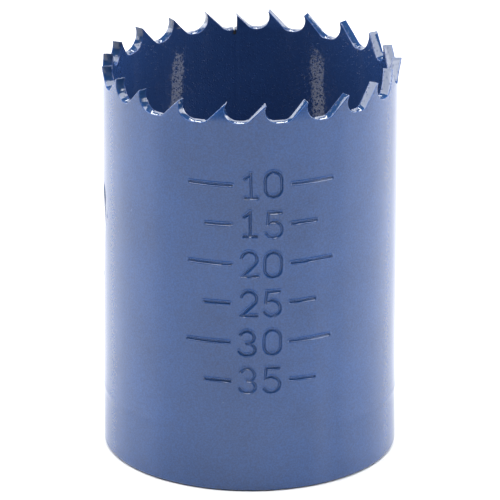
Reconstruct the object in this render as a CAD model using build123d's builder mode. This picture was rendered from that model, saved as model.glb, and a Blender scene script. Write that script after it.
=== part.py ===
"""A bi-metal hole saw with a 36.5 mm cut, standing on its cap with the teeth up.

Origin: on the saw's axis, in the flat back face of the cap. +Z runs along the
axis towards the teeth, and -Y faces the viewer. Angles are counted from -Y
towards +X, so 90 is the +X side and 180 the far side. Millimetres.
"""

from build123d import *
import math
import os

os.makedirs("parts", exist_ok=True)

# ---------------------------------------------------------------- dimensions
body_radius = 17.9          # outside of the rolled wall
wall = 1.2                  # strip thickness
bore_radius = body_radius - wall
mid_radius = body_radius - wall / 2

tip_height = 49.35          # tooth tips above the cap's back face
set_start = 47.25           # the set teeth lean from here up
ring_top = 46.5             # solid ring below the teeth, under every gullet
rim_round = 0.45            # rounded outer corner at the cap end

rake_angle = 15.0           # hook of the cutting face at its tip, degrees
rake_length = 0.35          # straight part of the cutting face
relief_run = 0.45           # short flatter land behind each tip
relief_drop = 0.28
heel_radius = 1.15          # where the gullet turns up into the next back

# The butt weld of the rolled strip falls at one tooth, whose cutting face is
# straight and square, and whose tip is low. A short slit stands in front of it.
seam_tooth = 3
seam_tip_height = 48.85
seam_notch_from = 0.18
seam_notch_width = 0.16
seam_notch_depth = 0.5

# Two slots through the wall, for prying out what the saw has cut. Each leans a
# little, with its top towards the viewer: angle at mid height, turn in degrees.
slot_width = 5.15
slot_length = 13.4
slot_corner = 1.8
slot_height = 27.9
slots = [(-88.6, -9.0), (97.2, 8.5)]

cap_thickness = 6.8
thread_minor_radius = 7.2   # 5/8-18 UNF, tapped from a 14.4 mm hole
thread_chamfer = 0.75
drive_hole_radius = 2.8
drive_hole_spacing = 23.8
drive_chamfer = 0.35
weld_leg = 0.8              # groove for the weld between the wall and the cap

# Each tooth: angle of its tip, and its set (+ outwards), in cutting order.
teeth = [
    (-127.9, 0.00), (-145.0, -0.28), (-161.2, 0.00), (-174.2, -0.08),
    (-187.2, 0.22), (-202.9, 0.00), (-220.1, 0.12), (-237.6, 0.35),
    (-254.5, -0.12), (-270.1, 0.38), (-284.0, -0.30), (-301.4, 0.00),
    (-319.4, 0.28), (-336.9, -0.28), (-353.7, 0.00), (-369.5, -0.32),
    (-387.9, 0.10), (-406.7, 0.20), (-422.7, 0.12), (-438.2, 0.30),
    (-453.2, -0.12), (-468.6, -0.25),
]
# Bottom of the gullet in front of each tooth, on the side its face cuts to.
gullets = [
    46.74, 46.74, 47.00, 47.04,
    47.18, 47.10, 46.90, 46.80,
    46.86, 46.96, 47.08, 46.84,
    46.80, 47.00, 47.16, 47.16,
    47.00, 46.84, 46.92, 46.96,
    47.00, 46.90,
]


def radial_plane(angle):
    """Plane across the wall: x along the wall, y up, z outwards."""
    a = math.radians(angle)
    return Plane(
        origin=(0, 0, 0),
        x_dir=(math.cos(a), math.sin(a), 0),
        z_dir=(math.sin(a), -math.cos(a), 0),
    )


# ------------------------------------------------------------------ the teeth
# Each tooth is its profile, drawn flat across the wall, kept only where it
# meets a leaning ring of the wall's thickness.
count = len(teeth)
per_degree = mid_radius * math.pi / 180
rake = math.radians(rake_angle)
eighth = math.pi / 4


def pitch_ahead(i):
    """Length of wall from tooth i's tip to the tip that its face looks at."""
    step = teeth[i - 1][0] - teeth[i][0]
    return (step + 360 if step < 0 else step) * per_degree


def tip_of(i):
    return seam_tip_height if i == seam_tooth else tip_height


def front_of(i):
    """End of the cutting face's straight, centre and radius of its gullet."""
    if i == seam_tooth:
        return 0, gullets[i], seam_notch_from + seam_notch_width + 0.1, 0, 0
    ax = -rake_length * math.sin(rake)
    ay = tip_of(i) - rake_length * math.cos(rake)
    radius = (ay - gullets[i]) / (1 + math.sin(rake))
    return ax, ay, ax + radius * math.cos(rake), gullets[i] + radius, radius


def heel_start(i):
    """Where the floor of the gullet behind tooth i turns up into its back."""
    run = tip_of(i) - relief_drop - gullets[(i + 1) % count]
    rise = heel_radius * (1 - math.cos(eighth))
    return -relief_run - (run - rise) - heel_radius * math.sin(eighth)


tooth_parts = []
for i, (angle, lean) in enumerate(teeth):
    top = tip_of(i)
    front_floor = gullets[i]
    back_floor = gullets[(i + 1) % count]
    ax, ay, cx, cy, gullet_radius = front_of(i)
    heel_x = heel_start(i)
    middle = (math.pi - rake + 1.5 * math.pi) / 2

    # neighbouring profiles run past each other a little on the gullet's floor
    split = (cx + pitch_ahead(i) + heel_start(i - 1)) / 2
    front_end = max(split + 0.3, cx + 0.05)
    behind = (i + 1) % count
    split = (front_of(behind)[2] + pitch_ahead(behind) + heel_x) / 2
    back_end = min(split - pitch_ahead(behind) - 0.3, heel_x - 0.05)

    top_radius_shift = lean * (50.0 - set_start) / (tip_height - set_start)
    back_top = top - relief_drop
    heel = heel_radius
    heel_end = (heel_x + heel * math.sin(eighth), back_floor + heel * (1 - math.cos(eighth)))

    with BuildPart() as tooth:
        with BuildSketch(Plane.XZ):
            with BuildLine():
                Polyline(
                    (bore_radius, ring_top - 0.6),
                    (body_radius, ring_top - 0.6),
                    (body_radius, set_start),
                    (body_radius + top_radius_shift, 50.0),
                    (bore_radius + top_radius_shift, 50.0),
                    (bore_radius, set_start),
                    close=True,
                )
            make_face()
        revolve(axis=Axis.Z)
        with BuildSketch(radial_plane(angle)):
            with BuildLine():
                Line((back_end, ring_top - 0.3), (back_end, back_floor))
                Line((back_end, back_floor), (heel_x, back_floor))
                ThreePointArc(
                    (heel_x, back_floor),
                    (
                        heel_x + heel * math.sin(eighth / 2),
                        back_floor + heel * (1 - math.cos(eighth / 2)),
                    ),
                    heel_end,
                )
                Line(heel_end, (-relief_run, back_top))
                Line((-relief_run, back_top), (0, top))
                if i == seam_tooth:
                    slit = seam_notch_from, seam_notch_from + seam_notch_width
                    slit_floor = front_floor - seam_notch_depth
                    Line((0, top), (0, front_floor))
                    Line((0, front_floor), (slit[0], front_floor))
                    Line((slit[0], front_floor), (slit[0], slit_floor))
                    Line((slit[0], slit_floor), (slit[1], slit_floor))
                    Line((slit[1], slit_floor), (slit[1], front_floor))
                    Line((slit[1], front_floor), (front_end, front_floor))
                else:
                    Line((0, top), (ax, ay))
                    ThreePointArc(
                        (ax, ay),
                        (cx + gullet_radius * math.cos(middle), cy + gullet_radius * math.sin(middle)),
                        (cx, cy - gullet_radius),
                    )
                    Line((cx, front_floor), (front_end, front_floor))
                Line((front_end, front_floor), (front_end, ring_top - 0.3))
                Line((front_end, ring_top - 0.3), (back_end, ring_top - 0.3))
            make_face()
        extrude(amount=body_radius + 5, mode=Mode.INTERSECT)
    tooth_parts.append(tooth.part)

# ------------------------------------------------------ the rolled, toothed wall
with BuildPart() as saw_wall:
    with BuildSketch(Plane.XZ):
        with BuildLine():
            Polyline(
                (bore_radius, weld_leg),
                (bore_radius + weld_leg * 0.75, 0),
                (body_radius - rim_round, 0),
            )
            RadiusArc((body_radius - rim_round, 0), (body_radius, rim_round), -rim_round)
            Polyline(
                (body_radius, rim_round),
                (body_radius, ring_top),
                (bore_radius, ring_top),
                (bore_radius, weld_leg),
            )
        make_face()
    revolve(axis=Axis.Z)
    add(tooth_parts)
    for angle, turn in slots:
        with BuildSketch(radial_plane(angle)):
            with Locations((0, slot_height)):
                RectangleRounded(slot_width, slot_length, slot_corner, rotation=turn)
        extrude(amount=body_radius + 5, mode=Mode.SUBTRACT)
saw_wall.part.label = "saw_wall"
export_step(saw_wall.part, "parts/saw_wall.step")

# ------------------------------------------------------------- the thick end cap
with BuildPart() as end_cap:
    with BuildSketch(Plane.XZ):
        with BuildLine():
            Polyline(
                (thread_minor_radius, thread_chamfer),
                (thread_minor_radius + thread_chamfer, 0),
                (bore_radius - weld_leg * 0.75, 0),
                (bore_radius, weld_leg),
                (bore_radius, cap_thickness - 0.4),
                (bore_radius - 0.4, cap_thickness),
                (thread_minor_radius + thread_chamfer, cap_thickness),
                (thread_minor_radius, cap_thickness - thread_chamfer),
                close=True,
            )
        make_face()
    revolve(axis=Axis.Z)
    with BuildSketch(Plane.XY):
        with GridLocations(drive_hole_spacing, 1, 2, 1):
            Circle(drive_hole_radius)
    extrude(amount=cap_thickness, mode=Mode.SUBTRACT)
    mouths = (
        end_cap.edges()
        .filter_by(GeomType.CIRCLE)
        .filter_by(lambda e: abs(e.radius - drive_hole_radius) < 0.01)
    )
    chamfer(mouths, drive_chamfer)
end_cap.part.label = "end_cap"
export_step(end_cap.part, "parts/end_cap.step")

# ------------------------------------------- the weld that holds cap and wall
with BuildPart() as cap_weld:
    with BuildSketch(Plane.XZ):
        with BuildLine():
            Line((bore_radius, weld_leg), (bore_radius - weld_leg * 0.66, 0.096))
            ThreePointArc(
                (bore_radius - weld_leg * 0.66, 0.096),
                (bore_radius, 0.05),
                (bore_radius + weld_leg * 0.66, 0.096),
            )
            Line((bore_radius + weld_leg * 0.66, 0.096), (bore_radius, weld_leg))
        make_face()
    revolve(axis=Axis.Z)
cap_weld.part.label = "cap_weld"
export_step(cap_weld.part, "parts/cap_weld.step")

for piece in (saw_wall, end_cap, cap_weld):
    box = piece.part.bounding_box()
    print(piece.part.label, "solids", len(piece.part.solids()), "volume", round(piece.part.volume, 1),
          "from", tuple(round(v, 2) for v in box.min), "to", tuple(round(v, 2) for v in box.max))
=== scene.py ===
"""Looks of the hole saw: enamelled wall with rounded, painted teeth and a
stamped depth scale, threaded end cap, weld, floor, soft studio light, camera.
"""

import math

import bpy
import numpy as np
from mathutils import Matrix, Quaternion, Vector
from mathutils.geometry import delaunay_2d_cdt


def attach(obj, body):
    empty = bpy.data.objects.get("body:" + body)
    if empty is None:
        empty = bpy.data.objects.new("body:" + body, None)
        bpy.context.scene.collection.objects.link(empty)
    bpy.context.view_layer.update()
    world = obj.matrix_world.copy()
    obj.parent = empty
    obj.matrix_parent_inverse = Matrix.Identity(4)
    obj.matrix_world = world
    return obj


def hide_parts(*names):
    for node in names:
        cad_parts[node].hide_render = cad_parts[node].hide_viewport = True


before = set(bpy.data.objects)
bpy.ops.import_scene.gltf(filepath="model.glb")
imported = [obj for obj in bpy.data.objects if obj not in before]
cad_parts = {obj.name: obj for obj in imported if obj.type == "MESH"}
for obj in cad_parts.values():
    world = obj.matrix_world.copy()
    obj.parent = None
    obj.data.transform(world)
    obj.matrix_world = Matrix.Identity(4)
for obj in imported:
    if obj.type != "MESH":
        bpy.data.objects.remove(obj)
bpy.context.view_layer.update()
MM = 0.001

# ---------------------------------------------------------------- dimensions
# The same as the solids', in millimetres.
R_OUT, WALL = 17.9, 1.2
R_IN = R_OUT - WALL
R_MID = R_OUT - WALL / 2
PER_DEG = R_MID * math.pi / 180
TURN = 2 * math.pi * R_MID
TIP, SET_START = 49.35, 47.25
RAKE, RAKE_LEN = math.radians(15.0), 0.35
RELIEF_RUN, RELIEF_DROP = 0.45, 0.28
HEEL = 1.15
SEAM, SEAM_TIP = 3, 48.85
NOTCH_AT, NOTCH_W, NOTCH_D = 0.19, 0.13, 0.5
RIM_ROUND = 0.45
WELD_LEG = 0.8
SLOT_W, SLOT_L, SLOT_R, SLOT_Z = 5.15, 13.4, 1.8, 27.9
SLOTS = [(-88.6, -9.0), (97.2, 8.5)]
CAP_H, THREAD_R, THREAD_CH = 6.8, 7.2, 0.75
PIN_R, PIN_AT, PIN_CH = 2.8, 11.9, 0.35
EDGE, CROWN = 0.10, 8.0     # cut faces: radius of their edges, half the turn of their crown
SLOT_EDGE, SLOT_CROWN = 0.13, 7.0
TEETH = [
    (-127.9, 0.00), (-145.0, -0.28), (-161.2, 0.00), (-174.2, -0.08),
    (-187.2, 0.22), (-202.9, 0.00), (-220.1, 0.12), (-237.6, 0.35),
    (-254.5, -0.12), (-270.1, 0.38), (-284.0, -0.30), (-301.4, 0.00),
    (-319.4, 0.28), (-336.9, -0.28), (-353.7, 0.00), (-369.5, -0.32),
    (-387.9, 0.10), (-406.7, 0.20), (-422.7, 0.12), (-438.2, 0.30),
    (-453.2, -0.12), (-468.6, -0.25),
]
GULLETS = [
    46.74, 46.74, 47.00, 47.04,
    47.18, 47.10, 46.90, 46.80,
    46.86, 46.96, 47.08, 46.84,
    46.80, 47.00, 47.16, 47.16,
    47.00, 46.84, 46.92, 46.96,
    47.00, 46.90,
]
N_TEETH = len(TEETH)
# The strip is unrolled from a cut in the gullet in front of the seam tooth.
CUT_DEG = 360 + TEETH[SEAM][0] + 3.0


def s_of(angle):
    """Place along the unrolled strip of an angle in degrees."""
    return ((angle - CUT_DEG) % 360) * PER_DEG


# ------------------------------------------------------------ tooth profile
def pitch_ahead(i):
    step = TEETH[i - 1][0] - TEETH[i][0]
    return (step + 360 if step < 0 else step) * PER_DEG


def tip_of(i):
    return SEAM_TIP if i == SEAM else TIP


def arc(cx, cz, r, a0, a1, step=7.0):
    n = max(2, int(abs(a1 - a0) / step) + 1)
    return [(cx + r * math.cos(math.radians(a0 + (a1 - a0) * k / n)),
             cz + r * math.sin(math.radians(a0 + (a1 - a0) * k / n))) for k in range(n + 1)]


def tooth_path(i):
    """Corners and arcs of one tooth from its heel to its gullet's floor, as
    (along, up, corner radius), measured from its tip."""
    top = tip_of(i)
    floor_back, floor_front = GULLETS[(i + 1) % N_TEETH], GULLETS[i]
    behind = (i + 1) % N_TEETH
    tip_r = 0.085
    grow = 0.09 if i != SEAM else 0.1         # the rounded tip still reaches its height
    top += grow
    # gullet of the tooth behind ends at cx, measured from this tip
    if behind == SEAM:
        cx_behind = NOTCH_AT + NOTCH_W + 0.15
    else:
        ay = tip_of(behind) - RAKE_LEN * math.cos(RAKE)
        r_b = (ay - GULLETS[behind]) / (1 + math.sin(RAKE))
        cx_behind = -RAKE_LEN * math.sin(RAKE) + r_b * math.cos(RAKE)
    cx_behind -= pitch_ahead(behind)
    back_top = tip_of(i) - RELIEF_DROP
    run = back_top - floor_back
    room = -RELIEF_RUN - run - cx_behind - 0.03
    heel = max(0.35, min(HEEL, room / 0.41421)) if room < 0.41421 * HEEL else HEEL
    heel_x = -RELIEF_RUN - run - 0.41421 * heel
    path = [(x, z, 0) for x, z in arc(heel_x, floor_back + heel, heel, -90, -45)]
    path.append((-RELIEF_RUN, back_top, 0.5))
    path.append((0, top, tip_r))
    if i == SEAM:
        n0, n1, deep = NOTCH_AT, NOTCH_AT + NOTCH_W, floor_front - NOTCH_D
        path += [(0, floor_front, 0.09), (n0, floor_front, 0.05), (n0, deep, 0.07), (n1, deep, 0.07),
                 (n1, floor_front, 0.06)]
    else:
        ax, az = -RAKE_LEN * math.sin(RAKE), tip_of(i) - RAKE_LEN * math.cos(RAKE)
        r = (az - floor_front) / (1 + math.sin(RAKE))
        cx, cz = ax + r * math.cos(RAKE), floor_front + r
        path += [(x, z, 0) for x, z in arc(cx, cz, r, 180 + math.degrees(RAKE) * -1 + 0, 270)]
    return path


def fillet(points):
    """Rounds the flagged corners of an open path of (x, z, radius)."""
    out = []
    for k, (x, z, r) in enumerate(points):
        if r <= 0 or k in (0, len(points) - 1):
            out.append((x, z))
            continue
        p = np.array([x, z])
        a = np.array(points[k - 1][:2]) - p
        b = np.array(points[k + 1][:2]) - p
        la, lb = np.linalg.norm(a), np.linalg.norm(b)
        a, b = a / la, b / lb
        half = math.acos(max(-1, min(1, float(a @ b)))) / 2
        t = min(r / math.tan(half), 0.48 * la, 0.48 * lb)
        r = t * math.tan(half)
        c = p + (a + b) / np.linalg.norm(a + b) * (r / math.sin(half))
        p0, p1 = p + a * t, p + b * t
        a0 = math.atan2(p0[1] - c[1], p0[0] - c[0])
        a1 = math.atan2(p1[1] - c[1], p1[0] - c[0])
        d = (a1 - a0 + math.pi) % (2 * math.pi) - math.pi
        n = max(2, int(abs(d) / math.radians(20)) + 1)
        out += [(c[0] + r * math.cos(a0 + d * j / n), c[1] + r * math.sin(a0 + d * j / n)) for j in range(n + 1)]
    return out


order = sorted(range(N_TEETH), key=lambda i: s_of(TEETH[i][0]))
path, lean_of = [], []
path.append((0.0, GULLETS[SEAM], 0))
for i in order:
    s0 = s_of(TEETH[i][0])
    lean_of.append((s0, TEETH[i][1], tip_of(i)))
    path += [(s0 + x, z, r) for x, z, r in tooth_path(i)]
path.append((TURN, GULLETS[SEAM], 0))


def steps(raw, most, closed=False):
    """Points along a line, with no step over `most` and none under 0.012."""
    out = [np.array(raw[0], float)]
    for p in list(raw[1:]) + ([raw[0]] if closed else []):
        p = np.array(p, float)
        q = out[-1]
        gap = np.linalg.norm(p - q)
        if gap < 0.012:
            continue
        n = int(math.ceil(gap / most))
        for k in range(1, n + 1):
            out.append(q + (p - q) * k / n)
    if closed:
        out.pop()
    return np.array(out)


def air_side(line, closed=False):
    """Unit vectors in the unrolled plane, to the left of the line's run."""
    t = np.zeros_like(line)
    if closed:
        t = np.roll(line, -1, 0) - np.roll(line, 1, 0)
    else:
        t[1:-1] = line[2:] - line[:-2]
        t[0] = t[-1] = (1, 0)
    t /= np.linalg.norm(t, axis=1)[:, None]
    return np.stack([-t[:, 1], t[:, 0]], 1)


profile = steps(fillet(path), 0.3)
profile[-1] = (TURN, GULLETS[SEAM])
NP = len(profile)
profile_air = air_side(profile)

lean_s = np.array([v[0] for v in lean_of])
lean_v = np.array([v[1] for v in lean_of])
lean_t = np.array([v[2] for v in lean_of])
lean_from = np.full(len(lean_s), SET_START)
lean_from[np.argmin(np.abs(lean_s - s_of(TEETH[1][0])))] = 47.95   # this one is bent further up


def slot_line(angle, turn):
    """A slot's outline in the unrolled plane, with the slot on its left."""
    w, h, r = SLOT_W / 2, SLOT_L / 2, SLOT_R
    pts = []
    for cx, cy, a in ((w - r, r - h, -90), (w - r, h - r, 0), (r - w, h - r, 90), (r - w, r - h, 180)):
        pts += arc(cx, cy, r, a, a + 90, 8.0)
    pts = steps(pts, 0.35, closed=True)
    t = math.radians(turn)
    turned = pts @ np.array([[math.cos(t), math.sin(t)], [-math.sin(t), math.cos(t)]])
    return turned + np.array([s_of(angle), SLOT_Z])


slot_lines = [slot_line(a, t) for a, t in SLOTS]


# ------------------------------------------------- the stamped depth scale
# Plain numbers for the depth in millimetres under the tips, with a dash on
# each side. Each digit is single strokes, in a box 0.62 wide and 1 high.
DIGIT_H, STROKE, DEPTH = 3.1, 0.19, 0.185
SCALE_AT = 4.5              # degrees from the front


def bow(cx, cy, rx, ry, a0, a1, n=12):
    return [(cx + rx * math.cos(math.radians(a0 + (a1 - a0) * k / n)),
             cy + ry * math.sin(math.radians(a0 + (a1 - a0) * k / n))) for k in range(n + 1)]


DIGITS = {
    "0": [bow(0.31, 0.69, 0.31, 0.31, 0, 180, 10) + bow(0.31, 0.31, 0.31, 0.31, 180, 360, 10) + [(0.62, 0.69)]],
    "1": [[(0.1, 0.8), (0.24, 0.87), (0.33, 1.0), (0.33, 0.0)], [(0.1, 0.0), (0.56, 0.0)]],
    "2": [bow(0.31, 0.7, 0.29, 0.3, 165, -25, 12) + [(0.42, 0.4), (0.02, 0.0), (0.62, 0.0)]],
    "3": [bow(0.29, 0.745, 0.27, 0.255, 155, -90, 12) + bow(0.29, 0.245, 0.31, 0.245, 90, -160, 12)],
    "5": [[(0.57, 1.0), (0.1, 1.0), (0.06, 0.56)] + bow(0.29, 0.32, 0.32, 0.32, 135, -150, 14)],
}
segments = []               # (s0, z0, s1, z1, half width, depth)
jog = np.random.default_rng(7)


def stamp(points, hw=STROKE, depth=DEPTH):
    for a, b in zip(points[:-1], points[1:]):
        segments.append((a[0], a[1], b[0], b[1], hw, depth))


for row, number in enumerate(("10", "15", "20", "25", "30", "35")):
    level = TIP - 10 - 5 * row
    mid = s_of(SCALE_AT + 360) + jog.uniform(-0.25, 0.25)
    dash = 5.0 if number.endswith("0") else 3.0
    step = DIGIT_H * 0.62 + 0.85
    for k, figure in enumerate(number):
        turn = math.radians(jog.uniform(-1.6, 1.6))
        x0 = mid + (k - 1) * step + 0.42 + jog.uniform(-0.08, 0.08)
        z0 = level - DIGIT_H / 2 + jog.uniform(-0.12, 0.12)
        depth = DEPTH * jog.uniform(0.82, 1.12)
        for line in DIGITS[figure]:
            stamp([(x0 + DIGIT_H * (x * math.cos(turn) - z * math.sin(turn)),
                    z0 + DIGIT_H * (x * math.sin(turn) + z * math.cos(turn))) for x, z in line], depth=depth)
    for side in (-1, 1):
        x0 = mid + side * (step + 0.75)
        tilt = jog.uniform(-0.04, 0.04)
        stamp([(x0, level + tilt), (x0 + side * dash, level - tilt)], depth=DEPTH * jog.uniform(0.85, 1.1))

# small damage: (angle, height) to (angle, height), half width, depth
for a0, z0, a1, z1, hw, depth in (
    (39.0, 4.3, 39.1, 2.5, 0.10, 0.012), (-69.8, 33.3, -66.2, 32.7, 0.09, 0.016),
    (-71.4, 32.2, -74.4, 30.6, 0.09, 0.012), (-74.8, 30.6, -74.7, 30.4, 0.16, 0.05),
    (-69.4, 24.9, -69.1, 23.8, 0.10, 0.016), (-67.2, 22.4, -67.1, 22.3, 0.14, 0.03),
    (-53.0, 33.6, -52.9, 33.6, 0.13, 0.035), (62.8, 27.0, 62.9, 27.0, 0.14, 0.03),
    (-66.0, 11.1, -65.0, 11.0, 0.13, 0.03), (-76.5, 31.5, -76.2, 29.2, 0.10, 0.012),
    (133.0, 19.5, 141.0, 18.4, 0.10, 0.012), (-148.0, 30.5, -139.5, 32.0, 0.09, 0.010),
    (163.0, 12.0, 166.5, 15.5, 0.09, 0.010), (-112.0, 9.5, -110.5, 12.4, 0.10, 0.014),
):
    segments.append((s_of(a0), z0, s_of(a1), z1, hw, depth))
SEG = np.array(segments)


def from_segments(s, z, seg):
    """Distance from points to one segment."""
    ax, az, bx, bz = seg[:4]
    dx, dz = bx - ax, bz - az
    q = max(dx * dx + dz * dz, 1e-12)
    t = np.clip(((s - ax) * dx + (z - az) * dz) / q, 0, 1)
    return np.hypot(s - ax - t * dx, z - az - t * dz)


def pressed(s, z):
    """How far the stamps and scratches move the surface, with raised rims."""
    out = np.zeros_like(s)
    lift = np.zeros_like(s)
    for seg in SEG:
        hw, depth = seg[4], seg[5]
        reach = hw * 2.6
        near = np.flatnonzero((s > min(seg[0], seg[2]) - reach) & (s < max(seg[0], seg[2]) + reach)
                              & (z > min(seg[1], seg[3]) - reach) & (z < max(seg[1], seg[3]) + reach))
        if not len(near):
            continue
        d = from_segments(s[near], z[near], seg) / hw
        u = np.clip((d - 0.22) / 0.82, 0, 1)
        out[near] = np.minimum(out[near], -depth * (1 - 0.85 * u - 0.15 * u * u * (3 - 2 * u)))
        lift[near] = np.maximum(lift[near], 0.17 * depth * np.exp(-((d - 1.5) / 0.42) ** 2))
    return np.where(out < -1e-4, out + lift * np.clip(1 + out / 0.02, 0, 1), lift)


# ---------------------------------------------------- the wall's two surfaces
def lean(s, z):
    """How far the set of the nearest tooth has moved the wall outwards."""
    k = np.searchsorted(lean_s + 1.45, s) % N_TEETH
    t = np.clip((z - lean_from[k]) / (lean_t[k] - lean_from[k]), 0, 1.1)
    return lean_v[k] * t * t / (t + 0.15) * 1.15


def turns(s, n, phase=0.0):
    return np.sin(2 * math.pi * n * s / TURN + phase)


def smooth(x, a, b):
    t = np.clip((x - a) / (b - a), 0, 1)
    return t * t * (3 - 2 * t)


def bump_at(s, z, angle, height, wide, high, amount):
    ds = (s - s_of(angle) + TURN / 2) % TURN - TURN / 2
    return amount * np.exp(-(ds / wide) ** 2 - ((z - height) / high) ** 2)


def rolled(s, z):
    """Unevenness that both faces of the rolled strip share."""
    return (0.010 * turns(s, 2, 0.6) + 0.006 * turns(s, 5, 0.13 * z) + 0.0035 * turns(s, 11, 1.7 - 0.21 * z)
            + 0.002 * turns(s, 17, 0.37 * z))


def outer_r(s, z):
    s, z = np.asarray(s, float), np.asarray(z, float)
    r = R_OUT + lean(s, z) + rolled(s, z)
    # the wall is drawn in a little round the cap, under a soft raised band
    level = 7.45 + 0.05 * turns(s, 3, 0.4) + 0.03 * turns(s, 8, 1.0)
    part = 0.12 + 0.9 * np.sin(math.radians(CUT_DEG) + s / R_MID) ** 2
    part = np.clip(part + 0.2 * turns(s, 5, 2.2) + 0.15 * turns(s, 23, 0.3), 0, 1)
    r = r - 0.03 * (1 - smooth(z, level - 1.1, level + 0.3))
    r = r + 0.034 * part * np.exp(-((z - level) / 0.42) ** 2)
    for dent in ((-62, 9.1, 2.6, 0.7, -0.016), (-72, 8.6, 1.2, 0.5, -0.012), (64, 9.0, 2.2, 0.6, -0.018),
                 (73, 9.6, 0.9, 0.5, -0.014), (58, 8.4, 0.8, 0.35, 0.010), (-83, 33.5, 1.4, 1.6, 0.03),
                 (150, 9.2, 2.0, 0.6, -0.012), (-140, 9.0, 2.6, 0.7, -0.014)):
        r = r + bump_at(s, z, *dent)
    # the strip's butt weld, ground down to a faint flat and a fine line
    ds = (s - s_of(TEETH[SEAM][0]) + TURN / 2) % TURN - TURN / 2
    r = r - 0.012 * np.exp(-(ds / 0.9) ** 2) * (1 - smooth(z, 46.3, 46.9))
    r = r - 0.010 * np.exp(-(ds / 0.12) ** 2) * (1 - smooth(z, 46.0, 46.4))
    return r + pressed(s, z)


def inner_r(s, z):
    s, z = np.asarray(s, float), np.asarray(z, float)
    ds = (s - s_of(TEETH[SEAM][0]) + TURN / 2) % TURN - TURN / 2
    bead = -0.022 * np.exp(-((ds - 0.05 * np.sin(z * 1.3)) / 0.28) ** 2) * (1 - smooth(z, 46.0, 46.6))
    return R_IN + lean(s, z) + rolled(s, z) + bead * smooth(z, 7.0, 7.6)


def place(s, z, r):
    a = math.radians(CUT_DEG) + s / R_MID
    return np.stack([r * np.sin(a), -r * np.cos(a), z], -1)


def surface_normal(radius, s, z, d=0.012):
    """Unit normals out of the cylinder's radius function."""
    a = math.radians(CUT_DEG) + s / R_MID
    rs = (radius((s + d) % TURN, z) - radius((s - d) % TURN, z)) / (2 * d)
    rz = (radius(s, z + d) - radius(s, z - d)) / (2 * d)
    k = radius(s, z) / R_MID
    er = np.stack([np.sin(a), -np.cos(a), np.zeros_like(a)], -1)
    et = np.stack([np.cos(a), np.sin(a), np.zeros_like(a)], -1)
    n = er * k[:, None] - et * rs[:, None]
    n[:, 2] -= k * rz
    return n / np.linalg.norm(n, axis=1)[:, None]


# ------------------------------------------------------------ the wall's mesh
class Build:
    """Collects vertices, their normals, a value per vertex for paint thinned at edges and for painted shade, and faces.
    """

    def __init__(self):
        self.v, self.n, self.w, self.f, self.count = [], [], [], [], 0

    def add(self, points, normals, wear_and_shade_mark=0.0):
        first = self.count
        self.v.append(points)
        self.n.append(normals)
        self.w.append(np.full(len(points), wear_and_shade_mark) if np.isscalar(wear_and_shade_mark) else wear_and_shade_mark)
        self.count += len(points)
        return np.arange(first, self.count)

    def strips(self, rows, closed=True, flip=False):
        for a, b in zip(rows[:-1], rows[1:]):
            a2, b2 = np.roll(a, -1), np.roll(b, -1)
            if not closed:
                a, b, a2, b2 = a[:-1], b[:-1], a2[:-1], b2[:-1]
            quads = np.stack([a, a2, b2, b], 1)
            self.f += (quads[:, ::-1] if flip else quads).tolist()

    def make(self, name):
        v = np.concatenate(self.v)
        n = np.concatenate(self.n)
        w = np.concatenate(self.w)
        mesh = bpy.data.meshes.new(name)
        mesh.from_pydata((v * MM).tolist(), [], self.f)
        mesh.update()
        mesh.shade_smooth()
        # each corner has its vertex's normal, or its face's own across a sharp edge
        n = n / np.linalg.norm(n, axis=1)[:, None]
        at_vertex = np.zeros(len(mesh.loops), np.int32)
        mesh.loops.foreach_get("vertex_index", at_vertex)
        face_n = np.zeros(len(mesh.polygons) * 3, np.float32)
        mesh.polygon_normals.foreach_get("vector", face_n)
        corners = np.zeros(len(mesh.polygons), np.int32)
        mesh.polygons.foreach_get("loop_total", corners)
        face_n = np.repeat(face_n.reshape(-1, 3), corners, axis=0)
        n = n[at_vertex]
        sharp = (n * face_n).sum(1) < 0.3
        n[sharp] = face_n[sharp]
        mesh.normals_split_custom_set(n.tolist())
        # per-vertex values for thin paint at rounded edges, and the cut-face and slit marks that the material paints as
        # shade
        at = mesh.attributes.new("edge_wear_and_shade", "FLOAT", "POINT")
        at.data.foreach_set("value", w.astype(np.float32))
        ob = bpy.data.objects.new(name, mesh)
        bpy.context.scene.collection.objects.link(ob)
        return ob


wall = Build()
QUARTER = 4
CUT_SHADE = -0.3                  # value of the edge mark for the cut faces, which the material paints darker as shade; -1 marks the slit, painted near black as shade
SLIT = (s_of(TEETH[SEAM][0]) + NOTCH_AT + NOTCH_W / 2, GULLETS[SEAM] - NOTCH_D / 2)


def rounding(line, edge, crown, room):
    """Half turn of the crown, edge radius, and how deep both reach together."""
    b = math.radians(crown) * room
    e = edge * room
    thick = outer_r(line[:, 0], line[:, 1]) - inner_r(line[:, 0], line[:, 1])
    big = (thick - 2 * e * (1 - np.sin(b))) / (2 * np.sin(b))
    return b, e, e * np.cos(b) + big * (1 - np.cos(b))


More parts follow.
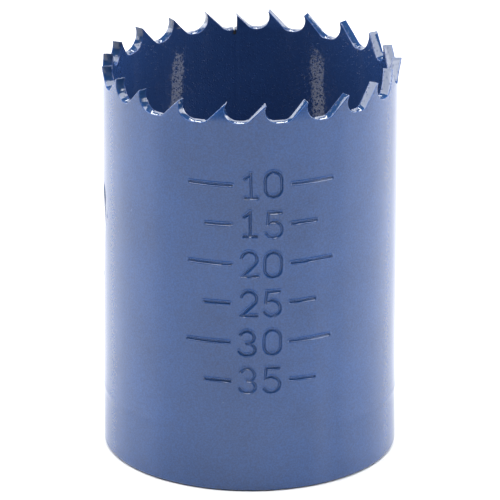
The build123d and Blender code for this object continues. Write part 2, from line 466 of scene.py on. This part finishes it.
def edge_rows(line, air, edge, crown, closed, room):
    """Rows over a cut edge from the outer face, round, over its crowned
    middle, and round to the inner face. `room` says how much of the rounding
    there is space for. Returns the inset line and the rows of indices."""
    if not closed:
        line, air, room = line[:-1], air[:-1], room[:-1]
    b, e, deep = rounding(line, edge, crown, room)
    inset = line - air * deep[:, None]
    if not closed:
        inset[0, 0] = 0
    s, z = inset[:, 0], inset[:, 1]
    ro, ri = outer_r(s, z), inner_r(s, z)
    big = (ro - ri - 2 * e * (1 - np.sin(b))) / (2 * np.sin(b))
    no, ni = surface_normal(outer_r, s, z), -surface_normal(inner_r, s, z)
    a = math.radians(CUT_DEG) + line[:, 0] / R_MID
    et = np.stack([np.cos(a), np.sin(a), np.zeros_like(a)], -1)
    out = et * air[:, :1] + np.array([0, 0, 1.0]) * air[:, 1:]
    # the slit's faces get -1, which the material paints near black as shade
    slit_shade = (np.abs(line[:, 0] - SLIT[0]) < NOTCH_W / 2 + 0.03) & (np.abs(line[:, 1] - SLIT[1]) < NOTCH_D / 2 + 0.02)
    rows = []

    def row(turn, across, rise, wear_and_shade_mark):
        p = inset + air * np.minimum(rise, deep)[:, None]
        side = np.where(np.cos(turn) >= 0, 1.0, -1.0)[:, None]
        normal = np.where(side > 0, no, ni) * np.abs(np.cos(turn))[:, None] + out * np.sin(turn)[:, None]
        rows.append(wall.add(place(p[:, 0], p[:, 1], ro - across), normal, np.where(slit_shade, -1.0, wear_and_shade_mark)))

    for k in range(QUARTER + 1):
        f = (math.pi / 2 - b) * k / QUARTER
        row(f, e * (1 - np.cos(f)), e * np.sin(f), math.sin(math.pi * k / QUARTER) if k else 0.0)
    # the crowned middle rows carry the cut-face mark, which the material paints darker as shade
    for k in range(1, 6):
        f = math.pi / 2 - b + 2 * b * k / 6
        row(f, e * (1 - np.sin(b)) + big * (np.sin(b) - np.cos(f)), e * np.cos(b) + big * (np.sin(f) - np.cos(b)), CUT_SHADE)
    for k in range(QUARTER + 1):
        f = math.pi / 2 + b + (math.pi / 2 - b) * k / QUARTER
        row(f, ro - ri - e * (1 + np.cos(f)), e * np.sin(f), math.sin(math.pi * k / QUARTER) if k < QUARTER else 0.0)
    wall.strips(rows)
    return inset, rows


# how much of the full rounding the rim has room for: less at the tips and slit
rim_room = np.ones(NP)
for i, (angle, _) in enumerate(TEETH):
    away = np.hypot(profile[:, 0] - s_of(angle), profile[:, 1] - tip_of(i))
    rim_room = np.minimum(rim_room, 0.36 + 1.3 * np.clip(away - 0.12, 0, 9))
away = np.hypot(profile[:, 0] - SLIT[0], 0.6 * (profile[:, 1] - SLIT[1]))
rim_room = np.minimum(rim_room, 0.26 + 1.3 * np.clip(away - 0.3, 0, 9))
for _ in range(14):
    reach = rounding(profile, EDGE, CROWN, rim_room)[2]
    moved = profile - profile_air * reach[:, None]
    near = np.full(NP, 9.0)
    for step in range(-45, 46):
        k = np.clip(np.arange(NP) + step, 0, NP - 2)
        a, b = profile[k], profile[k + 1]
        along = np.clip(((moved - a) * (b - a)).sum(1) / np.maximum(((b - a) ** 2).sum(1), 1e-12), 0, 1)
        near = np.minimum(near, np.linalg.norm(moved - a - (b - a) * along[:, None], axis=1))
    tight = near < 0.96 * reach
    if not tight.any():
        break
    tight = np.convolve(tight, np.ones(5), "same") > 0
    rim_room = np.where(tight, 0.82 * rim_room, rim_room)

rim_inset, rim_rows = edge_rows(profile, profile_air, EDGE, CROWN, False, rim_room)
slot_sets = [edge_rows(line, air_side(line, True), SLOT_EDGE, SLOT_CROWN, True, np.ones(len(line)))
             for line in slot_lines]

# One lattice of points, fine near strokes and coarse on the plain wall.
H = 0.06
ROWH = H * math.sqrt(3) / 2
NX, NZ = int(TURN / H) + 1, int(50.0 / ROWH) + 1
lat_x = np.arange(NX)[None, :] * H + (np.arange(NZ)[:, None] % 2) * H / 2
lat_z = np.repeat(np.arange(NZ)[:, None] * ROWH, NX, 1)


def spread(seglist, reach):
    """Distance from the lattice's points to the nearest of many segments."""
    dist = np.full((NZ, NX), 9.0, np.float32)
    for seg in seglist:
        i0 = max(0, int((min(seg[0], seg[2]) - reach) / H))
        i1 = min(NX, int((max(seg[0], seg[2]) + reach) / H) + 2)
        j0 = max(0, int((min(seg[1], seg[3]) - reach) / ROWH))
        j1 = min(NZ, int((max(seg[1], seg[3]) + reach) / ROWH) + 2)
        if i1 <= i0 or j1 <= j0:
            continue
        d = from_segments(lat_x[j0:j1, i0:i1], lat_z[j0:j1, i0:i1], seg)
        dist[j0:j1, i0:i1] = np.minimum(dist[j0:j1, i0:i1], d)
    return dist


def joined(loop, closed):
    nxt = np.roll(loop, -1, 0) if closed else loop[1:]
    cur = loop if closed else loop[:-1]
    return np.hstack([cur, nxt])


rim_closed = np.vstack([rim_inset, [[TURN, rim_inset[0, 1]]]])
edge_d = spread(np.vstack([joined(rim_closed, False)] + [joined(q[0], True) for q in slot_sets]), 1.7)
stroke_d = spread(SEG[:, :4], 1.7)

# the coarsest lattice that each point also belongs to
level = np.zeros((NZ, NX), np.int8)
for m in range(1, 5):
    jj, ii = np.meshgrid(np.arange(NZ), np.arange(NX), indexing="ij")
    j = jj // 2 ** m
    hit = (jj % 2 ** m == 0) & ((ii - (j % 2) * 2 ** (m - 1)) % 2 ** m == 0)
    level[hit] = m


def inside(points, loop):
    """Which points lie inside a closed loop."""
    out = np.zeros(len(points), bool)
    x, z = points[:, 0], points[:, 1]
    for (ax, az), (bx, bz) in zip(loop, np.roll(loop, -1, 0)):
        if az == bz:
            continue
        hit = (az > z) != (bz > z)
        out ^= hit & (x < (bx - ax) * (z - az) / (bz - az) + ax)
    return out


def face_of(radius, with_marks, z_low, rows_at, slots_at, sign):
    """Fills one face of the wall between its rim and its bottom edge."""
    want = np.full((NZ, NX), 4, np.int8)
    want[(edge_d < 1.6) | (lat_z > 46.9) | ((lat_z > 6.0) & (lat_z < 9.4) & with_marks)] = 3
    want[(edge_d < 0.55) | ((lat_z > 6.7) & (lat_z < 8.3) & with_marks)] = 2
    seam = np.abs((lat_x - s_of(TEETH[SEAM][0]) + TURN / 2) % TURN - TURN / 2)
    want[(seam < 0.6) & (lat_z < 46.6)] = np.minimum(want[(seam < 0.6) & (lat_z < 46.6)], 2)
    if with_marks:
        want[stroke_d < 1.4] = np.minimum(want[stroke_d < 1.4], 3)
        want[stroke_d < 0.8] = 2
        want[stroke_d < 0.5] = 1
        want[stroke_d < 0.36] = 0
    size = H * 2.0 ** want
    keep = (level >= want) & (edge_d > 0.45 * size) & (lat_x > 0.45 * size) & (lat_x < TURN - 0.45 * size) \
        & (lat_z > z_low + 0.45 * size)
    pts = np.stack([lat_x[keep], lat_z[keep]], 1)

    n_low = 226
    low = np.stack([np.arange(n_low + 1) * TURN / n_low, np.full(n_low + 1, z_low)], 1)
    top_z = rim_inset[0, 1]
    side_z = [z_low]
    while side_z[-1] < top_z - 0.5:
        zz = side_z[-1]
        side_z.append(zz + (0.3 if (6.5 < zz < 8.5 or zz > 45.5) else 0.6))
    side_z = np.array(side_z[1:])
    nr, ns = len(rim_closed), len(side_z)
    right = np.stack([np.full(ns, TURN), side_z[::-1]], 1)
    left = np.stack([np.zeros(ns), side_z], 1)
    loop = np.vstack([rim_closed, right, low[::-1], left])
    pts = pts[inside(pts, loop)]
    for q, _ in slot_sets:
        pts = pts[~inside(pts, q)]
    coords = np.vstack([loop] + [q for q, _ in slot_sets] + [pts])
    edges, first = [], len(loop)
    for q, _ in slot_sets:
        edges += [(first + k, first + (k + 1) % len(q)) for k in range(len(q))]
        first += len(q)
    edges += [(k, (k + 1) % len(loop)) for k in range(len(loop))]
    got_v, _, got_f, orig_v, _, _ = delaunay_2d_cdt([Vector(c) for c in coords.tolist()], edges, [], 0, 1e-6, True)
    got = np.array([[v.x, v.y] for v in got_v])
    tris = np.array(got_f)
    mid = got[tris].mean(1)
    ok = inside(mid, loop)
    for q, _ in slot_sets:
        ok &= ~inside(mid, q)
    tris = tris[ok]

    # from the fill's own numbering to the wall's vertices
    source = np.array([o[0] if o else -1 for o in orig_v])
    if (source < 0).any():
        print("wall face: crossing edges", int((source < 0).sum()))
    ids = np.full(len(coords), -1)
    ids[:nr - 1] = rows_at
    ids[nr - 1] = rows_at[0]
    base = nr + ns
    new_low = wall.add(place(low[:-1, 0], low[:-1, 1], radius(low[:-1, 0], low[:-1, 1])),
                       sign * surface_normal(radius, low[:-1, 0], low[:-1, 1]))
    ids[base:base + n_low + 1] = np.concatenate([new_low, new_low[:1]])[::-1]
    side = wall.add(place(left[:, 0], left[:, 1], radius(left[:, 0], left[:, 1])),
                    sign * surface_normal(radius, left[:, 0], left[:, 1]))
    ids[nr:nr + ns] = side[::-1]
    ids[base + n_low + 1:len(loop)] = side
    first = len(loop)
    for (q, _), at in zip(slot_sets, slots_at):
        ids[first:first + len(q)] = at
        first += len(q)
    ids[first:] = wall.add(place(pts[:, 0], pts[:, 1], radius(pts[:, 0], pts[:, 1])),
                           sign * surface_normal(radius, pts[:, 0], pts[:, 1]))
    faces = ids[source[tris]]
    good = (faces[:, 0] != faces[:, 1]) & (faces[:, 1] != faces[:, 2]) & (faces[:, 0] != faces[:, 2])
    faces = faces[good]
    wall.f += (faces if sign > 0 else faces[:, ::-1]).tolist()
    return low[:-1, 0], new_low


low_s, low_out = face_of(outer_r, True, RIM_ROUND, rim_rows[0], [r[0] for _, r in slot_sets], 1)
_, low_in = face_of(inner_r, False, WELD_LEG, rim_rows[-1], [r[-1] for _, r in slot_sets], -1)

# the bottom: a rounded corner, the flat that it stands on, the weld's chamfer
rows = [low_out]
low_r = outer_r(low_s, np.full_like(low_s, RIM_ROUND))
a = math.radians(CUT_DEG) + low_s / R_MID
er = np.stack([np.sin(a), -np.cos(a), np.zeros_like(a)], -1)
ez = np.array([0, 0, 1.0])
for k in range(1, 7):
    f = math.pi / 2 * k / 6
    rows.append(wall.add(place(low_s, np.full_like(low_s, RIM_ROUND * (1 - math.sin(f))),
                               low_r - RIM_ROUND * (1 - math.cos(f))), er * math.cos(f) - ez * math.sin(f)))
edge_in = R_IN + WELD_LEG * 0.75
rows.append(wall.add(place(low_s, np.zeros_like(low_s), np.full_like(low_s, edge_in)), -ez - er * 0.45))
rows.append(low_in)
wall.strips(rows, flip=True)
wall_skin = wall.make("wall_skin")


# ------------------------------------------------------------- the end cap
def around(build, radii, heights, columns, normals=None, phase=0.0, centre=(0.0, 0.0)):
    """Rings of points about an upright axis, one for each radius and height."""
    t = 2 * math.pi * (np.arange(columns) + phase) / columns
    er = np.stack([np.cos(t), np.sin(t), np.zeros_like(t)], -1)
    rows = []
    for (r, z), (nr, nz) in zip(zip(radii, heights), normals):
        pts = er * r + np.array([centre[0], centre[1], z])
        rows.append(build.add(pts, er * nr + np.array([0, 0, nz])))
    return rows


def line_normals(points):
    """Normals on the left of a profile's run, in its (radius, height) plane."""
    p = np.array(points, float)
    seg = np.diff(p, axis=0)
    seg /= np.linalg.norm(seg, axis=1)[:, None]
    n = np.stack([-seg[:, 1], seg[:, 0]], 1)
    out = np.vstack([n[:1], n[:-1] + n[1:], n[-1:]])
    return out / np.linalg.norm(out, axis=1)[:, None]


def flat_fill(build, loops, ids, z, up, spacing=0.9):
    """Fills a flat ring with holes: the first loop is its outside."""
    outer = loops[0]
    reach = np.abs(outer).max()
    hh = spacing * math.sqrt(3) / 2
    g = []
    for j in range(-int(reach / hh) - 1, int(reach / hh) + 2):
        for i in range(-int(reach / spacing) - 1, int(reach / spacing) + 2):
            g.append((i * spacing + (j % 2) * spacing / 2, j * hh))
    g = np.array(g)
    ok = inside(g, outer)
    for hole in loops[1:]:
        ok &= ~inside(g, hole)
    for loop in loops:
        d = np.full(len(g), 9.0)
        for a, b in zip(loop, np.roll(loop, -1, 0)):
            d = np.minimum(d, from_segments(g[:, 0], g[:, 1], (a[0], a[1], b[0], b[1])))
        ok &= d > 0.4 * spacing
    g = g[ok]
    coords = np.vstack(loops + [g])
    edges, first = [], 0
    for loop in loops:
        edges += [(first + k, first + (k + 1) % len(loop)) for k in range(len(loop))]
        first += len(loop)
    v, _, f, orig, _, _ = delaunay_2d_cdt([Vector(c) for c in coords.tolist()], edges, [], 0, 1e-6, True)
    got, tris = np.array([[p.x, p.y] for p in v]), np.array(f)
    mid = got[tris].mean(1)
    ok = inside(mid, outer)
    for hole in loops[1:]:
        ok &= ~inside(mid, hole)
    new = build.add(np.column_stack([g, np.full(len(g), z)]), np.tile((0, 0, 1.0 if up else -1.0), (len(g), 1)))
    index = np.concatenate(list(ids) + [new])
    source = np.array([o[0] for o in orig])
    faces = index[source[tris[ok]]]
    build.f += (faces if up else faces[:, ::-1]).tolist()


cap = Build()
R_FIT = R_IN - 0.012
COLS, PER_PITCH, PITCH = 160, 20, 25.4 / 18
ROOT = THREAD_R + THREAD_CH - 0.012
LEG = WELD_LEG * 0.75

# outside of the cap, from its top face down to its back face
side = fillet([(R_FIT - 1.0, CAP_H, 0), (R_FIT - 0.4, CAP_H, 0.14), (R_FIT, CAP_H - 0.4, 0.14), (R_FIT, WELD_LEG, 0.05),
               (R_IN - LEG, 0.0, 0.07), (R_IN - LEG - 0.5, 0.0, 0)])
side_n = line_normals(side)
side_n[0], side_n[-1] = (0, 1), (0, -1)
side_rows = around(cap, [p[0] for p in side], [p[1] for p in side], 200, side_n)
cap.strips(side_rows, flip=True)


def thread_r(theta, z):
    """A 60 degree internal thread, with lead-in chamfers at both faces."""
    w = (z - PITCH * theta / (2 * math.pi)) / PITCH
    w = np.abs(w - np.round(w)) * PITCH
    t = np.clip((w - 0.165) / 0.435, 0, 1)
    t = np.where(t < 0.12, t * t / 0.24, np.where(t > 0.88, 1 - (1 - t) ** 2 / 0.24, (t - 0.06) / 0.88))
    r = THREAD_R + (7.9375 - THREAD_R) * np.clip(t, 0, 1)
    return np.maximum(r, np.maximum(ROOT - z, ROOT - (CAP_H - z)))


mouth = fillet([(ROOT + 0.4, 0.0, 0), (ROOT, 0.0, 0.12), (ROOT - 0.3, 0.3, 0)])
mouth = [q for q in mouth if q[1] < 0.06]
theta = 2 * math.pi * np.arange(COLS) / COLS
er = np.stack([np.cos(theta), np.sin(theta), np.zeros_like(theta)], -1)
et = np.stack([-np.sin(theta), np.cos(theta), np.zeros_like(theta)], -1)
low_rows = around(cap, [q[0] for q in mouth], [q[1] for q in mouth], COLS,
                  [(-math.sin(f), -math.cos(f)) for f in np.linspace(0, math.pi / 4, len(mouth))])
top_rows = around(cap, [q[0] for q in mouth], [CAP_H - q[1] for q in mouth], COLS,
                  [(-math.sin(f), math.cos(f)) for f in np.linspace(0, math.pi / 4, len(mouth))])
z_from, z_to = mouth[-1][1], CAP_H - mouth[-1][1]
# rows that climb with the thread, cut off level at both ends
n_rows = int((z_to - z_from) / PITCH * PER_PITCH) + 1
columns = []
for c, th in enumerate(theta):
    rise = PITCH * th / (2 * math.pi)
    k0 = math.ceil((z_from - rise) / PITCH * PER_PITCH + 0.3)
    k1 = math.floor((z_to - rise) / PITCH * PER_PITCH - 0.3)
    z = rise + np.arange(k0, k1 + 1) * PITCH / PER_PITCH
    r = thread_r(np.full_like(z, th), z)
    d = 0.01
    rt = (thread_r(np.full_like(z, th + d), z) - thread_r(np.full_like(z, th - d), z)) / (2 * d)
    rz = (thread_r(np.full_like(z, th), z + d) - thread_r(np.full_like(z, th), z - d)) / (2 * d)
    pts = er[c] * r[:, None] + np.array([0, 0, 1.0]) * z[:, None]
    nor = -er[c] + et[c] * (rt / r)[:, None] + np.array([0, 0, 1.0]) * rz[:, None]
    columns.append((k0, cap.add(pts, nor)))
for c in range(COLS):
    k0, a = columns[c]
    q0, b = columns[(c + 1) % COLS]
    if c == COLS - 1:
        q0 = columns[0][0] - PER_PITCH          # a full turn is one pitch up
    lo = max(k0, q0)
    hi = min(k0 + len(a), q0 + len(b))
    ga, gb = a.tolist(), b.tolist()
    for k in range(lo, hi - 1):
        cap.f.append([ga[k - k0], ga[k + 1 - k0], gb[k + 1 - q0], gb[k - q0]])
    # the ends, between the first shared row and the level ring of the mouth
    c2 = (c + 1) % COLS
    fan = [int(low_rows[-1][c])] + ga[:lo - k0 + 1]
    fan2 = [int(low_rows[-1][c2])] + gb[:lo - q0 + 1]
    cap.f.append(fan + fan2[::-1])
    fan = ga[hi - 1 - k0:] + [int(top_rows[-1][c])]
    fan2 = gb[hi - 1 - q0:] + [int(top_rows[-1][c2])]
    cap.f.append(fan + fan2[::-1])
cap.strips(low_rows, flip=True)
cap.strips(top_rows)

# the two drive-pin holes
pin_side = fillet([(PIN_R + PIN_CH + 0.2, CAP_H, 0), (PIN_R + PIN_CH, CAP_H, 0.1), (PIN_R, CAP_H - PIN_CH, 0.1),
                   (PIN_R, PIN_CH, 0.1), (PIN_R + PIN_CH, 0.0, 0.1), (PIN_R + PIN_CH + 0.2, 0.0, 0)])
pin_n = -line_normals(pin_side)
pin_n[0], pin_n[-1] = (0, 1), (0, -1)
pins = []
for x in (-PIN_AT, PIN_AT):
    rows = around(cap, [q[0] for q in pin_side], [q[1] for q in pin_side], 64, pin_n, centre=(x, 0.0))
    cap.strips(rows)
    pins.append(rows)


def ring_at(build, ids):
    """The placed points of a row of vertices, seen from above."""
    every = np.concatenate(build.v)
    return every[ids][:, :2]


for row, up, z in ((0, True, CAP_H), (-1, False, 0.0)):
    mouth_row = top_rows[0] if up else low_rows[0]
    ids = [side_rows[row], mouth_row] + [p[row] for p in pins]
    flat_fill(cap, [ring_at(cap, i) for i in ids], ids, z, up)
cap_skin = cap.make("cap_skin")

# ---------------------------------------------------------------- the weld
weld = Build()
n_col, r_c = 960, R_IN
t = 2 * math.pi * np.arange(n_col) / n_col
er = np.stack([np.cos(t), np.sin(t), np.zeros_like(t)], -1)
along = t * r_c
half = WELD_LEG * 0.66
slow = 0.06 * np.sin(3 * t + 0.7) + 0.05 * np.sin(7 * t + 2.0)
lap = np.exp(-((((t - 2.3 + math.pi) % (2 * math.pi) - math.pi) * r_c) / 0.9) ** 2)
rows = []
xs = np.linspace(-1, 1, 11)
for x in xs:
    wave = np.abs(np.sin(math.pi * (along / 0.82 + 0.35 * x * x + slow * 2.0)))
    z = 0.085 - 0.035 * (1 - x * x) - 0.022 * wave * (1 - 0.6 * x * x) - 0.012 * lap * (1 - x * x)
    r = r_c + x * half * (1 + 0.03 * np.sin(5 * t + 1.0))
    rows.append((r, z))
grid_r = np.array([q[0] for q in rows])
grid_z = np.array([q[1] for q in rows])
dz_t = (np.roll(grid_z, -1, 1) - np.roll(grid_z, 1, 1)) / (2 * (along[1] - along[0]))
dz_r = np.gradient(grid_z, axis=0) / np.gradient(grid_r, axis=0)
et = np.stack([-np.sin(t), np.cos(t), np.zeros_like(t)], -1)
under = [weld.add(er * grid_r[k][:, None] + np.array([0, 0, 1.0]) * grid_z[k][:, None],
                  -np.array([0, 0, 1.0]) + er * dz_r[k][:, None] + et * dz_t[k][:, None]) for k in range(len(xs))]
apex = weld.add(er * r_c + np.array([0, 0, WELD_LEG]), np.tile((0, 0, 1.0), (n_col, 1)))
weld.strips(under)
weld.strips([under[-1], apex])
weld.strips([apex, under[0]])
weld_skin = weld.make("weld_skin")

for piece, node, slot in ((wall_skin, "saw_wall", "wall_enamel"), (cap_skin, "end_cap", "cap_enamel"),
                          (weld_skin, "cap_weld", "weld_enamel")):
    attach(piece, "root")
    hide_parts(node)


# ------------------------------------------------------------- materials
class Paint:
    """A Principled material whose inputs come from textures in metres."""

    def __init__(self, name):
        self.mat = bpy.data.materials.new(name)
        self.mat.use_nodes = True
        self.nodes, self.links = self.mat.node_tree.nodes, self.mat.node_tree.links
        self.nodes.clear()
        out = self.nodes.new("ShaderNodeOutputMaterial")
        self.skin = self.nodes.new("ShaderNodeBsdfPrincipled")
        self.links.new(self.skin.outputs["BSDF"], out.inputs["Surface"])
        self.where = self.nodes.new("ShaderNodeTexCoord").outputs["Object"]

    def moved(self, shift, scale=(1, 1, 1)):
        node = self.nodes.new("ShaderNodeMapping")
        node.inputs["Location"].default_value = shift
        node.inputs["Scale"].default_value = scale
        self.links.new(self.where, node.inputs["Vector"])
        return node.outputs["Vector"]

    def noise(self, size, detail=2.0, rough=0.5, shift=(0, 0, 0), scale=(1, 1, 1), vector=None):
        node = self.nodes.new("ShaderNodeTexNoise")
        node.inputs["Scale"].default_value = 1 / size
        node.inputs["Detail"].default_value = detail
        node.inputs["Roughness"].default_value = rough
        self.links.new(vector or self.moved(shift, scale), node.inputs["Vector"])
        return node.outputs["Fac"]

    def spots(self, spacing, radius, shift=(0, 0, 0), some=0.5):
        """Round spots, 1 in their middle: one in each cell, in some of them."""
        node = self.nodes.new("ShaderNodeTexVoronoi")
        node.inputs["Scale"].default_value = 1 / spacing
        self.links.new(self.moved(shift), node.inputs["Vector"])
        dot = self.ranged(node.outputs["Distance"], 0.0, radius / spacing, 1.0, 0.0, True)
        parts = self.nodes.new("ShaderNodeSeparateColor")
        self.links.new(node.outputs["Color"], parts.inputs["Color"])
        return self.math("MULTIPLY", dot, self.ranged(parts.outputs[0], 1 - some, 1.0, 0.0, 1.0))

    def ranged(self, value, a, b, to_a, to_b, soft=False):
        node = self.nodes.new("ShaderNodeMapRange")
        node.interpolation_type = "SMOOTHSTEP" if soft else "LINEAR"
        self.links.new(value, node.inputs["Value"])
        for key, v in (("From Min", a), ("From Max", b), ("To Min", to_a), ("To Max", to_b)):
            node.inputs[key].default_value = v
        return node.outputs["Result"]

    def math(self, kind, a, b):
        node = self.nodes.new("ShaderNodeMath")
        node.operation = kind
        for k, v in enumerate((a, b)):
            if isinstance(v, (int, float)):
                node.inputs[k].default_value = v
            else:
                self.links.new(v, node.inputs[k])
        return node.outputs[0]

    def mix(self, fac, a, b):
        node = self.nodes.new("ShaderNodeMix")
        node.data_type = "RGBA"
        self.links.new(fac, node.inputs[0])
        for k, v in ((6, a), (7, b)):
            if isinstance(v, tuple):
                node.inputs[k].default_value = (*v, 1.0)
            else:
                self.links.new(v, node.inputs[k])
        return node.outputs[2]

    def bump(self, height, distance, below=None, strength=1.0):
        node = self.nodes.new("ShaderNodeBump")
        node.inputs["Strength"].default_value = strength
        node.inputs["Distance"].default_value = distance
        self.links.new(height, node.inputs["Height"])
        if below:
            self.links.new(below, node.inputs["Normal"])
        return node.outputs["Normal"]

    def radius(self):
        """Distance from the object's own axis, as a texture vector."""
        line = self.nodes.new("ShaderNodeCombineXYZ")
        self.links.new(self.away(), line.inputs["X"])
        return line.outputs["Vector"]

    def away(self):
        """Distance from the object's own axis."""
        node = self.nodes.new("ShaderNodeVectorMath")
        node.operation = "LENGTH"
        self.links.new(self.moved((0, 0, 0), (1, 1, 0)), node.inputs[0])
        return node.outputs["Value"]


def enamel(name, colour, gloss, rings=0.0, lined=False):
    """Sprayed enamel: orange peel, nibs and pits, specks, thin at the edges, with painted shade that darkens the cut
    faces and blackens the slit.
    """
    p = Paint(name)
    dark = tuple(0.70 * c for c in colour)
    pale = tuple(1.30 * c for c in colour)
    thin = (0.040, 0.085, 0.190)
    slow = p.ranged(p.noise(0.007, 3.0, 0.55), 0.3, 0.7, 0.0, 1.0)
    grain = p.ranged(p.noise(0.00020, 2.0, 0.6, (0.3, 0.1, 0.2)), 0.36, 0.64, 0.0, 1.0)
    tone = p.mix(p.math("ADD", p.math("MULTIPLY", slow, 0.36), p.math("MULTIPLY", grain, 0.64)), dark, pale)
    tone = p.mix(p.math("MULTIPLY", p.spots(0.0021, 0.00016, (0.11, 0.4, 0.2), 0.4), 0.42), tone, (0.14, 0.21, 0.34))
    tone = p.mix(p.math("MULTIPLY", p.spots(0.0017, 0.00018, (0.51, 0.2, 0.7), 0.5), 0.45), tone,
                 tuple(0.45 * c for c in colour))
    # thin paint at rounded edges, and the cut-face and slit marks painted as shade
    wear_and_shade = p.nodes.new("ShaderNodeAttribute")
    wear_and_shade.attribute_name = "edge_wear_and_shade"
    ragged = p.ranged(p.noise(0.0011, 3.0, 0.6, (0.7, 0.3, 0.9)), 0.42, 0.62, 0.0, 0.55)
    if lined:                # rougher and duller inside the cup
        inside = p.ranged(p.away(), 0.0170, 0.0174, 1.0, 0.0)
        tone = p.mix(p.math("MULTIPLY", inside, 0.6), tone, (1.9 * colour[0], 0.88 * colour[1], 0.76 * colour[2]))
    # painted shade: the cut faces of the rim and the slots are turned a darker blue
    cut = p.ranged(wear_and_shade.outputs["Fac"], -0.02, -0.3, 0.0, 0.8)
    tone = p.mix(cut, tone, (0.013, 0.037, 0.098))
    tone = p.mix(p.math("MULTIPLY", p.ranged(wear_and_shade.outputs["Fac"], 0.0, 1.0, 0.0, 1.0), ragged), tone, thin)
    # painted shade: the slit's faces go near black and rough, as a dark recess
    crevice_shade = p.ranged(wear_and_shade.outputs["Fac"], -0.4, -0.9, 0.0, 1.0)
    tone = p.mix(crevice_shade, tone, (0.004, 0.005, 0.008))
    p.links.new(tone, p.skin.inputs["Base Color"])
    p.skin.inputs["IOR"].default_value = 1.55
    dull = p.ranged(p.noise(0.0016, 3.0, 0.6, (0.2, 0.9, 0.4)), 0.3, 0.7, gloss - 0.02, gloss + 0.03)
    p.links.new(p.math("MAXIMUM", dull, p.math("MULTIPLY", crevice_shade, 0.85)), p.skin.inputs["Roughness"])
    peel = p.bump(p.noise(0.0011, 1.0, 0.45, (0.4, 0.4, 0.1)), 0.0000085)
    grit = p.math("SUBTRACT", p.spots(0.00028, 0.00012, (0.9, 0.1, 0.3), 0.75),
                  p.spots(0.00031, 0.00012, (0.2, 0.6, 0.8), 0.65))
    if lined:
        grit = p.math("MULTIPLY", grit, p.ranged(inside, 0.0, 1.0, 0.2, 1.0))
    nibs = p.bump(grit, 0.000038 if lined else 0.000009, peel)
    if lined:
        fine = p.math("MULTIPLY", p.noise(0.00050, 1.0, 0.5, (0.6, 0.2, 0.5)), inside)
        nibs = p.bump(fine, 0.000007, nibs)
    if rings:
        nibs = p.bump(p.noise(0.00034, 2.0, 0.6, vector=p.radius()), rings, nibs)
    p.links.new(nibs, p.skin.inputs["Normal"])
    return p.mat


BLUE = (0.0132, 0.0540, 0.1835)
for piece, mat in ((wall_skin, enamel("wall_enamel", BLUE, 0.05, lined=True)),
                   (cap_skin, enamel("cap_enamel", BLUE, 0.08, 0.000012)),
                   (weld_skin, enamel("weld_enamel", (0.0124, 0.0515, 0.176), 0.09))):
    piece.data.materials.append(mat)

# ----------------------------------------------------- floor, light, camera
bpy.ops.mesh.primitive_plane_add(size=6.0, location=(0, 0, 0))
floor = bpy.context.object
floor.name = "floor"
p = Paint("floor_paper")
p.links.new(p.ranged(p.noise(0.0008, 3.0, 0.6), 0.2, 0.8, 0.30, 0.34), p.skin.inputs["Roughness"])
p.skin.inputs["Base Color"].default_value = (0.78, 0.78, 0.78, 1)
p.skin.inputs["IOR"].default_value = 1.5
floor.data.materials.append(p.mat)

def softbox(name, where, aim, wide, high, radiance):
    """A rectangular light of a given brightness, turned to face a point."""
    lamp = bpy.data.lights.new(name, "AREA")
    lamp.shape = "RECTANGLE"
    lamp.size, lamp.size_y = wide, high
    lamp.energy = radiance * math.pi * wide * high
    ob = bpy.data.objects.new(name, lamp)
    bpy.context.scene.collection.objects.link(ob)
    ob.location = where
    ob.rotation_mode = "QUATERNION"
    ob.rotation_quaternion = (Vector(aim) - Vector(where)).to_track_quat("-Z", "Y")
    return ob


softbox("overhead", (-0.10, 0.0, 0.78), (-0.10, 0.0, 0.0), 1.40, 0.62, 6.8)
softbox("behind", (0.0, 0.66, 0.46), (0.0, 0.0, 0.04), 0.26, 0.07, 14.0)
softbox("front_right", (0.60, -0.36, 0.42), (0.0, 0.0, 0.04), 0.20, 0.22, 8.0)
softbox("front_top", (0.0, -0.30, 0.66), (0.0, 0.0, 0.03), 0.34, 0.22, 3.2)

# a white sweep low round the back, and a dim room above and in front of it
world = bpy.data.worlds.new("studio")
bpy.context.scene.world = world
world.use_nodes = True
nodes, links = world.node_tree.nodes, world.node_tree.links
nodes.clear()
sky = nodes.new("ShaderNodeTexCoord")
parts = nodes.new("ShaderNodeSeparateXYZ")
links.new(sky.outputs["Generated"], parts.inputs[0])


def ramp(value, a, b, to_a, to_b):
    node = nodes.new("ShaderNodeMapRange")
    node.interpolation_type = "SMOOTHSTEP"
    links.new(value, node.inputs["Value"])
    for key, v in (("From Min", a), ("From Max", b), ("To Min", to_a), ("To Max", to_b)):
        node.inputs[key].default_value = v
    return node.outputs["Result"]


def calc(kind, *values):
    node = nodes.new("ShaderNodeMath")
    node.operation = kind
    for k, v in enumerate(values):
        if isinstance(v, (int, float)):
            node.inputs[k].default_value = v
        else:
            links.new(v, node.inputs[k])
    return node.outputs[0]


low = ramp(parts.outputs["Z"], 0.35, 0.385, 1.0, 0.0)
rear = ramp(parts.outputs["Y"], -0.38, -0.05, 0.0, 1.0)
sides = ramp(calc("ABSOLUTE", parts.outputs["X"]), 0.4, 0.75, 1.9, 6.0)
level = calc("MULTIPLY_ADD", calc("MULTIPLY", low, rear), sides, 0.05)
back = nodes.new("ShaderNodeBackground")
back.inputs["Color"].default_value = (1, 1, 1, 1)
links.new(level, back.inputs["Strength"])
out = nodes.new("ShaderNodeOutputWorld")
links.new(back.outputs["Background"], out.inputs["Surface"])

camera_data = bpy.data.cameras.new("camera")
camera_data.sensor_width = 36.0
camera_data.lens = 457.8
camera = bpy.data.objects.new("camera", camera_data)
bpy.context.scene.collection.objects.link(camera)
camera.location = (0.0, -0.7234, 0.3015)
tilt = Quaternion((1, 0, 0), math.radians(69.039))
roll = Quaternion((0, 0, 1), math.radians(0.118))
camera.rotation_mode = "QUATERNION"
camera.rotation_quaternion = tilt @ roll
bpy.context.scene.camera = camera
bpy.context.scene.view_settings.view_transform = "Standard"
